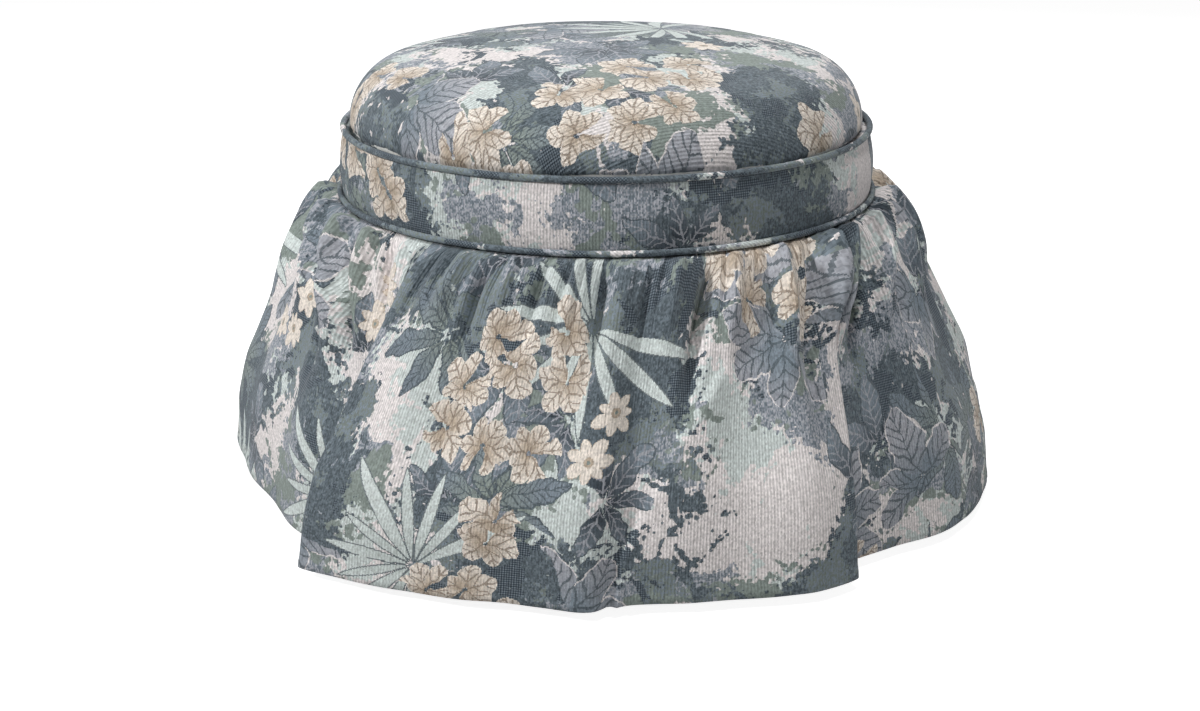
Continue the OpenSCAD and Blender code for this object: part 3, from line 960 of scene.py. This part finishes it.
welts = {
    "upperWelt": {
        "node": "upper_welt",
        "ring": 0.2563,
        "height": 0.332,
        "cord": 0.0030,
        "join": 41.0,
        "clothPlace": (0.31, 0.57),
    },
    "lowerWelt": {
        "node": "lower_welt",
        "ring": 0.2624,
        "height": 0.2698,
        "cord": 0.0028,
        "join": 198.0,
        "clothPlace": (2.4, 1.38),
    },
}
weltShape = {
    "section": 18,
    "steps": 420,
    "nextStrip": 0.37,  # metres of cloth between the patterns of one strip and the next
    "uneven": (0.035, 0.016),  # share of the cord, size
    "ribs": (0.02, 260),  # share of the cord, how many go round
    "joinLump": (0.16, 0.0022),  # share of the cord, half width
    "joinDip": (0.1, 0.0015),
}


def makeWelt(name, cut, shape):
    bm = bmesh.new()
    ring = Matrix.Translation((cut["ring"], 0, cut["height"])) @ Matrix.Rotation(math.pi / 2, 4, "X")
    bmesh.ops.create_circle(bm, segments=shape["section"], radius=cut["cord"], matrix=ring)
    spinRound(bm, shape["steps"])
    join, bias = math.radians(cut["join"]), 0.7071

    def spinOf(point):
        return math.atan2(point.z - cut["height"], point.xy.length - cut["ring"])

    def rule(point, middle):
        along = turnNear(point, middle) * cut["ring"]
        around = nearTurn(spinOf(point), spinOf(middle)) * cut["cord"]
        if turnOf(middle) > join:  # another strip of cloth starts there
            along += shape["nextStrip"]
        return ((along + around) * bias, (around - along) * bias)

    paintUv(bm, rule, cut["clothPlace"])
    (lump, lumpHalf), (dip, dipHalf) = shape["joinLump"], shape["joinDip"]
    (uneven, size), (rib, ribs) = shape["uneven"], shape["ribs"]
    for vert in bm.verts:
        turn = turnOf(vert.co)
        centre = Vector((math.sin(turn) * cut["ring"], -math.cos(turn) * cut["ring"], cut["height"]))
        gap = (turn - join) * cut["ring"]
        fat = 1 + uneven * ripple(vert.co, size, 2.0) + rib * math.sin(turn * ribs)
        fat += lump * bell(gap, lumpHalf) - dip * bell(gap + 0.004, dipHalf)
        vert.co = centre + (vert.co - centre) * fat
    piece = addPiece(name, bm, weltCloth, "base")
    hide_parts(cut["node"])


for name, cut in welts.items():
    makeWelt(name, cut, weltShape)
print("welts made")


# skirt: two widths of cloth gathered under the lower welt

skirt = {
    "hemRadius": 0.392,
    "headingRadius": 0.2612,
    "headingZ": 0.2665,
    "hemZ": 0.010,
    "drop": 0.292,  # along the slanting cloth, from heading to hem
    "cloth": 0.0015,
    "columns": 900,
    "rows": 52,
    "hemDepth": 0.0125,
    "stitch": 0.0026,
    "thread": (0.00038, 0.00036),
    "stitchStep": 0.0037,
    "stitchStands": 0.0002,  # how far the middle of a stitch stands off the cloth
    "clothPlace": (2.44, 0.747),
    "seams": (-100.0, 76.0),  # where one width is sewn to the next, turn at the heading
    # turn of the hem in degrees, share of the hem radius, turn at the heading
    "folds": [
        (-100, 0.985, -100), (-86, 0.975, -88), (-72, 0.95, -76), (-58, 0.943, -64),
        (-45, 0.97, -52), (-35.5, 0.957, -43), (-32.5, 0.99, -38), (-39, 1.075, -33),
        (-32, 1.058, -28), (-22, 1.04, -18), (-13, 1.022, -8), (-3, 1.042, 3),
        (2, 1.007, 11), (13, 1.018, 23), (25, 1.05, 35), (31.5, 1.042, 44),
        (28.5, 0.975, 48), (33, 0.973, 52), (41, 0.985, 57), (50, 1.02, 63),
        (60, 1.025, 70), (68, 1.01, 76), (76, 0.97, 82), (87, 0.985, 91),
        (98, 1, 100), (105, 1.01, 108), (101.5, 0.955, 113), (108, 0.95, 118),
        (120, 1, 127), (132, 1.035, 137), (141, 0.985, 145), (152, 0.985, 154),
        (164, 1.045, 164), (170, 1.04, 171), (166.5, 0.975, 176), (173, 0.97, 181),
        (185, 1.04, 190), (196, 1.03, 199), (205, 0.972, 206), (213.5, 0.96, 213),
        (216, 0.995, 218), (210.5, 1.06, 223), (220, 1.045, 230), (238, 1.005, 243),
    ],
    # share of the drop, share of the way out to the hem
    "fall": [
        (0, 0), (0.03, 0.1), (0.1, 0.25), (0.22, 0.39), (0.36, 0.54),
        (0.5, 0.69), (0.66, 0.86), (0.82, 0.95), (1, 1),
    ],
    # turn at the heading, how far it strays on its way down, share of the gather height
    # (valleys below zero), half its width in degrees, share of the drop that it runs down
    "gatherHeight": 0.0105,
    "gathers": [
        (-97, 0, -1.69, 2.4, 0.46), (-88.5, 3, 1.26, 4.4, 0.48), (-80.5, 4, -1.95, 2.5, 0.48),
        (-73.5, 7, 1.26, 3.2, 0.5), (-67.5, 9, -2.99, 2.1, 0.58), (-61, 7, 1.84, 2.8, 0.54),
        (-55.5, 5, -2.34, 1.7, 0.48), (-50.5, 3, 1.49, 2.4, 0.48), (-45, 2, -1.69, 1.8, 0.38),
        (-36, 0, 0.8, 2.8, 0.32), (-30.5, 0, -1.43, 1.9, 0.34), (-25.5, 0, 0.8, 2.3, 0.27),
        (-20.5, 0, -1.62, 1.8, 0.35), (-15, 0, 0.86, 2.6, 0.3), (-10, 0, -1.04, 1.6, 0.28),
        (-3.5, 0, 0.92, 2.5, 0.3), (1, 0, -1.82, 1.8, 0.4), (5, 0, 0.8, 2.1, 0.27),
        (9, 0, -1.17, 1.6, 0.33), (13.5, 0, 0.92, 2.6, 0.36), (20, -2, -2.86, 2.1, 0.5),
        (24.5, -1, 1.15, 2.4, 0.38), (29, -1, -1.17, 1.6, 0.3), (34, -1, 1.61, 2.6, 0.5),
        (40.5, -3.5, -1.7, 2.2, 0.7), (45.6, -3, 1.7, 2.3, 0.34), (50, -3, -2.73, 1.6, 0.5),
        (53.8, -4, 1.61, 2.1, 0.5), (57.6, -3.5, -2.34, 1.6, 0.5), (61.6, -3, 1.49, 2.4, 0.5),
        (66, -2, -2.08, 1.9, 0.5), (71, -1, 1.26, 2.8, 0.48), (77.5, 0, -1.56, 2.4, 0.48),
        (84.5, 0, 1.15, 3.4, 0.44), (91.5, 0, -1.69, 2.5, 0.46), (99, 1, 1.15, 3.4, 0.44),
        (106, 2, 1.26, 3.2, 0.52), (112.5, 1, -2.34, 2.4, 0.54), (121, 0, 1.15, 3.8, 0.44),
        (130, 0, -1.69, 2.8, 0.46), (139, 0, 1.15, 3.6, 0.4), (147, 0, -1.69, 2.7, 0.44),
        (156, 0, 1.26, 4, 0.46), (165, 1, -1.69, 2.5, 0.46), (173, 1, 1.38, 3.4, 0.52),
        (180.5, 0, -2.34, 2.5, 0.52), (189, 0, 1.15, 3.6, 0.44), (197.5, 0, -1.69, 2.8, 0.46),
        (206.5, 0, 1.26, 3.6, 0.44), (213.5, -1, -1.82, 2.4, 0.52), (221, -2, 1.03, 3.4, 0.5),
        (228, -1, -1.95, 2.5, 0.5), (236.5, 0, 1.15, 3.8, 0.44), (245, 0, -1.69, 2.7, 0.46),
        (254, 0, 1.26, 3.8, 0.46),
    ],
    "flutes": (24, 0.35),  # how many go round, share of the gather height
    "calm": (-34, 221),  # here the cloth folds back over itself and lies without gathers
    "calmWidth": 8,
    # small puckers between the gathers: turn at the heading, height in mm, how far down
    "puckers": [
        (-180, 8.4, 0.34), (-100, 8.4, 0.36), (-60, 9.4, 0.38), (-38, 8.8, 0.34), (-15, 9.0, 0.3),
        (20, 9.0, 0.3), (42, 9.2, 0.4), (66, 9.4, 0.4), (90, 8.4, 0.36), (180, 8.4, 0.34),
    ],
    # the crease that crosses the front: metres of cloth and share of the drop
    "crease": [
        (0.885, 0.3), (0.862, 0.413), (0.845, 0.494),
        (0.824, 0.672), (0.802, 0.846), (0.785, 1.4),
    ],
    "creaseHeight": 0.006,
    "creaseWidth": 0.05,
    "nipPitch": 0.0125,
    "nipHeight": 0.003,
    "hemRoll": 0.0005,
    "hemGroove": 0.0006,
    "hemPull": 0.00035,
    "seamDip": 0.0012,
    "uneven": ((0.05, 1.0, 0.0016), (0.018, 4.0, 0.0004)),  # size, seed and height
}


def smoothCurve(points, steps):
    # a smooth line through the points of a closed one
    points = np.array(points, float)
    count = len(points)
    made = []
    for i in range(count):
        a, b, c, d = (points[(i + k) % count] for k in (-1, 0, 1, 2))
        for j in range(steps):
            s = j / steps
            curve = (2 * a - 5 * b + 4 * c - d) + s * (3 * b - a - 3 * c + d)
            made.append(b + s * ((c - a) + s * curve) / 2)
    return np.array(made)


def planPoint(turn, radius):
    turn = np.radians(turn)
    return np.stack([radius * np.sin(turn), -radius * np.cos(turn)], axis=-1)


def evenOut(values, rounds=60):
    for _ in range(rounds):
        values[1:-1] = (values[:-2] + values[2:]) / 2


def skirtGuide(cut):
    # the hem line in plan against metres of cloth, with the turn of the heading above each point
    steps = 40
    hem = smoothCurve([planPoint(t, s * cut["hemRadius"]) for t, s, h in cut["folds"]], steps)
    turns = [h for t, s, h in cut["folds"]] + [cut["folds"][0][2] + 360]
    heading = np.interp(np.arange(len(hem)) / steps, np.arange(len(turns)), turns)
    hem = np.vstack([hem, hem[:1]])
    heading = np.append(heading, turns[-1])
    length = np.append(0, np.cumsum(np.linalg.norm(np.diff(hem, axis=0), axis=1)))
    evenOut(heading)  # so it has no kink at a fold point
    dense = np.linspace(0, 1, 400)
    level = np.interp(dense, *zip(*cut["fall"]))
    evenOut(level)
    level[0], level[-1] = 0, 1
    guide = {"hem": hem, "heading": heading, "length": length, "dense": dense, "level": level}
    return {**guide, "total": length[-1]}


def puckerEdges(cut, guide):
    # where the heading is nipped between one small pucker and the next, in metres of cloth
    dice = np.random.default_rng(7)
    edges, place = [0.0], 0.0
    while place < guide["total"] - 0.03:
        place += float(dice.uniform(0.018, 0.042))
        edges.append(place)
    edges[-1] = guide["total"]
    count = len(edges) - 1
    return {
        "edges": np.array(edges),
        "tall": dice.uniform(0.35, 1.3, count),
        "deep": dice.uniform(0.6, 1.4, count),
        "peak": dice.uniform(0.36, 0.64, count),
    }


def crossFade(value, low, high):
    s = np.clip((value - low) / (high - low), 0, 1)
    return s * s * (3 - 2 * s)


def apart(turn, middle):
    return np.mod(turn - middle + 540, 360) - 180


def skirtBase(cut, guide, u, f):
    u = np.mod(u, guide["total"])
    hem = np.stack([np.interp(u, guide["length"], guide["hem"][:, k]) for k in (0, 1)], axis=-1)
    head = planPoint(np.interp(u, guide["length"], guide["heading"]), cut["headingRadius"])
    out = np.interp(f, guide["dense"], guide["level"])[:, None]
    plan = head + (hem - head) * out
    z = cut["headingZ"] + (cut["hemZ"] - cut["headingZ"]) * f
    return np.column_stack([plan, z])


def gatherLift(cut, turn, f, calm):
    # the gathers, and long flutes below them
    count, share = cut["flutes"]
    lift = share * np.sin(np.radians(count * turn))
    lift *= crossFade(f, 0.08, 0.35) * (1 - 0.65 * crossFade(f, 0.5, 1.0))
    strayed = crossFade(f, 0.03, 0.35)
    for middle, stray, tall, half, runDown in cut["gathers"]:
        away = apart(turn, middle + stray * strayed) / half
        if tall > 0:  # ridges are round, valleys are pinched to a line and stay clear of the hoop
            bump, full = np.clip(1 - away * away, 0, 1) ** 2, 0.035
        else:
            bump, full = np.clip(1 - np.abs(away), 0, 1) ** 1.5, 0.085
        lift += tall * bump * crossFade(f, 0, full) * (1 - crossFade(f, 0.3 * runDown, runDown))
    return lift * calm * cut["gatherHeight"]


def puckerLift(cut, gathers, turn, place, f, calm):
    # small puckers over the gathers
    turns, heights, depths = np.array(cut["puckers"]).T
    height = np.interp(turn, turns, heights) / 1000
    edges = gathers["edges"]
    k = np.clip(np.searchsorted(edges, place, side="right") - 1, 0, len(gathers["tall"]) - 1)
    s = np.clip((place - edges[k]) / (edges[k + 1] - edges[k]), 0, 1)
    peak = gathers["peak"][k]
    bow = np.where(s < peak, s / peak, (1 - s) / (1 - peak))
    ridge = 1 - (1 - bow) ** 1.9
    down = np.interp(turn, turns, depths) * gathers["deep"][k]
    envelope = crossFade(f, 0.0, 0.04) * (1 - crossFade(f, 0.04, down + 0.05)) ** 1.3
    return height * gathers["tall"][k] * (ridge - 0.4) * envelope * (0.45 + 0.55 * calm)


def creaseLift(cut, place, f):
    # one side of the crease stands over the other
    line, wide = np.array(cut["crease"]), cut["creaseWidth"]
    away = place - np.interp(f, line[:, 1], line[:, 0])
    over = np.exp(-np.maximum(away, 0) / wide)
    step = np.where(away > 0, over, -0.35 * np.exp(np.minimum(away, 0) / (wide * 0.3)))
    step *= crossFade(np.abs(away), 0.0, 0.003)
    return cut["creaseHeight"] * step * crossFade(f, line[0, 1] - 0.02, line[0, 1] + 0.06)


def edgeLift(cut, place, f):
    # nips right under the welt
    nip = np.abs(np.sin(place * np.pi / cut["nipPitch"] + 1.3 * wave(place, 0.2)))
    nip *= cut["nipHeight"] * (0.7 + 0.5 * wave(place, 0.083))
    lift = nip * crossFade(f, 0.0, 0.025) * (1 - crossFade(f, 0.03, 0.14))
    # the doubled hem: a soft roll, a shallow groove at its stitches and the pull of the thread
    fromStitches = (1 - f) * (cut["headingZ"] - cut["hemZ"]) - cut["hemDepth"]
    lift += cut["hemRoll"] * crossFade(-fromStitches, 0.0, 0.004)
    lift -= cut["hemGroove"] * bell(fromStitches, 0.0011)
    return lift + cut["hemPull"] * wave(place, 0.0093) * bell(fromStitches, 0.006)


def skirtSurface(cut, guide, gathers, u, f):
    base = skirtBase(cut, guide, u, f)
    nearU, nearF = 0.004, 0.02
    alongU = skirtBase(cut, guide, u + nearU, f) - skirtBase(cut, guide, u - nearU, f)
    alongF = skirtBase(cut, guide, u, np.minimum(f + nearF, 1))
    alongF -= skirtBase(cut, guide, u, np.maximum(f - nearF, 0))
    normal = np.cross(alongF, alongU)
    normal /= np.linalg.norm(normal, axis=1, keepdims=True)
    place = np.mod(u, guide["total"])
    turn = np.interp(place, guide["length"], guide["heading"])
    wrapped = np.mod(turn + 180, 360) - 180
    calm = np.ones_like(turn)
    for middle in cut["calm"]:
        calm *= crossFade(np.abs(apart(turn, middle)), 0, cut["calmWidth"])
    lift = gatherLift(cut, turn, f, calm) + puckerLift(cut, gathers, wrapped, place, f, calm)
    lift += creaseLift(cut, place, f) + edgeLift(cut, place, f)
    for seam in cut["seams"]:
        away = (wrapped - seam) * np.pi / 180 * 0.45
        lift -= cut["seamDip"] * bell(away, 0.0018) * crossFade(f, 0.02, 0.08)
    return base + normal * lift[:, None], normal


def outwards(point):
    return Vector((point[0], point[1], 0)).normalized()


def unevenness(cut, point, share):
    # a little that no formula of folds gives; the broad part fades out towards the heading
    broad, fine = (ripple(point, size, seed) * high for size, seed, high in cut["uneven"])
    return broad * min(1.0, share * 6) + fine


def makeSkirt(cut):
    guide = skirtGuide(cut)
    gathers = puckerEdges(cut, guide)
    print("  hem is", round(guide["total"], 3), "m round")
    bm = bmesh.new()
    bmesh.ops.create_grid(bm, x_segments=cut["columns"], y_segments=cut["rows"], size=1.0)
    flat = np.array([v.co[:] for v in bm.verts])
    share = (flat[:, 0] + 1) / 2
    u = share * guide["total"]
    f = ((1 - flat[:, 1]) / 2) ** 1.15
    points, _ = skirtSurface(cut, guide, gathers, u, f)
    right, up = cut["clothPlace"]
    layer = bm.loops.layers.uv.new("flatCloth")
    bm.verts.index_update()
    for face in bm.faces:
        middle = sum(u[loop.vert.index] for loop in face.loops) / len(face.loops)
        turn = np.interp(middle, guide["length"], guide["heading"])
        # the pattern doesn't run on across a seam
        aside, above = (0.213, 0.41) if turn > cut["seams"][1] else (0, 0)
        for loop in face.loops:
            i = loop.vert.index
            loop[layer].uv = (u[i] + right + aside, cut["drop"] * (1 - f[i]) + up + above)
    for i, vert in enumerate(bm.verts):
        vert.co = Vector(points[i]) + outwards(points[i]) * unevenness(cut, points[i], f[i])
    bmesh.ops.remove_doubles(bm, verts=bm.verts[:], dist=0.00005)
    bmesh.ops.recalc_face_normals(bm, faces=bm.faces[:])
    bm.normal_update()
    pointNormalsOut(bm, lambda c: Vector((c.x, c.y, 0)))
    piece = addPiece("gatheredSkirt", bm, tapestry, "base")
    thicken(piece, cut["cloth"], even=False)
    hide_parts("skirt_front", "skirt_back")
    stitches = makeHemStitches(cut, guide, gathers)
    return piece


def makeHemStitches(cut, guide, gathers):
    one = bmesh.new()
    bmesh.ops.create_uvsphere(one, u_segments=6, v_segments=4, radius=1.0)
    stitch = bpy.data.meshes.new("oneStitch")
    one.to_mesh(stitch)
    one.free()
    bm = bmesh.new()
    count = int(guide["total"] / cut["stitchStep"])
    u = (np.arange(count) + 0.5) * guide["total"] / count
    f = np.full(count, 1 - cut["hemDepth"] / (cut["headingZ"] - cut["hemZ"]))
    points, normals = skirtSurface(cut, guide, gathers, u, f)
    ahead, _ = skirtSurface(cut, guide, gathers, u + 0.001, f)
    for point, normal, following in zip(points, normals, ahead):
        alongSeam = Vector(following - point).normalized()
        out = Vector(normal)
        out = (out - alongSeam * out.dot(alongSeam)).normalized()
        turned = Matrix((alongSeam, out.cross(alongSeam), out)).transposed().to_4x4()
        place = Vector(point) + outwards(point) * unevenness(cut, point, 1.0)
        place += out * cut["stitchStands"]
        copy = stitch.copy()
        size = Matrix.Diagonal((cut["stitch"] / 2, *cut["thread"], 1))
        copy.transform(Matrix.Translation(place) @ turned @ size)
        bm.from_mesh(copy)
        bpy.data.meshes.remove(copy)
    bpy.data.meshes.remove(stitch)
    return addPiece("hemStitches", bm, hemThread, "base")


makeSkirt(skirt)
print("skirt made")


# plain cloths inside and underneath

linings = {  # each line runs from one (radius, height) to the other
    "wallLining": {
        "node": "wall_lining",
        "body": "base",
        "line": ((0.2275, 0.0435), (0.2275, 0.3115)),
        "cloth": 0.0009,
        "shows": lambda c: Vector((-c.x, -c.y, 0)),
    },
    "floorLining": {
        "node": "floor_lining",
        "body": "base",
        "line": ((0.0, 0.0429), (0.2262, 0.0429)),
        "cloth": 0.0009,
        "shows": lambda c: Vector((0, 0, 1)),
    },
    "topLining": {
        "node": "top_lining",
        "body": "top",
        "line": ((0.0, 0.3169), (0.2232, 0.3169)),
        "cloth": 0.0009,
        "shows": lambda c: Vector((0, 0, -1)),
    },
    "dustCover": {
        "node": "dust_cover",
        "body": "base",
        "line": ((0.0, 0.0232), (0.2445, 0.0232)),
        "cloth": 0.0007,
        "shows": lambda c: Vector((0, 0, -1)),
    },
}


def makeLining(name, cut):
    (r0, z0), (r1, z1) = cut["line"]
    node, count = cut["node"], 40
    shares = [i / count for i in range(count + 1)]
    bm = spinLine([(r0 + (r1 - r0) * s, z0 + (z1 - z0) * s) for s in shares], 120)
    level = z0 == z1
    pointNormalsOut(bm, cut["shows"])
    paintUv(bm, lambda p, m: (p.x, p.y) if level else (turnNear(p, m) * r0, p.z))
    for vert in bm.verts:
        soft = ripple(vert.co, 0.06, 7.0) * 0.00022
        if level:
            vert.co.z += soft
        else:
            vert.co.xy *= 1 + soft / r0
    material, slotName = (dustCloth, "dust_cloth") if name == "dustCover" else (liningCloth, "lining")
    piece = addPiece(name, bm, material, cut["body"])
    thicken(piece, cut["cloth"])
    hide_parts(node)


for name, cut in linings.items():
    makeLining(name, cut)
print("linings made")
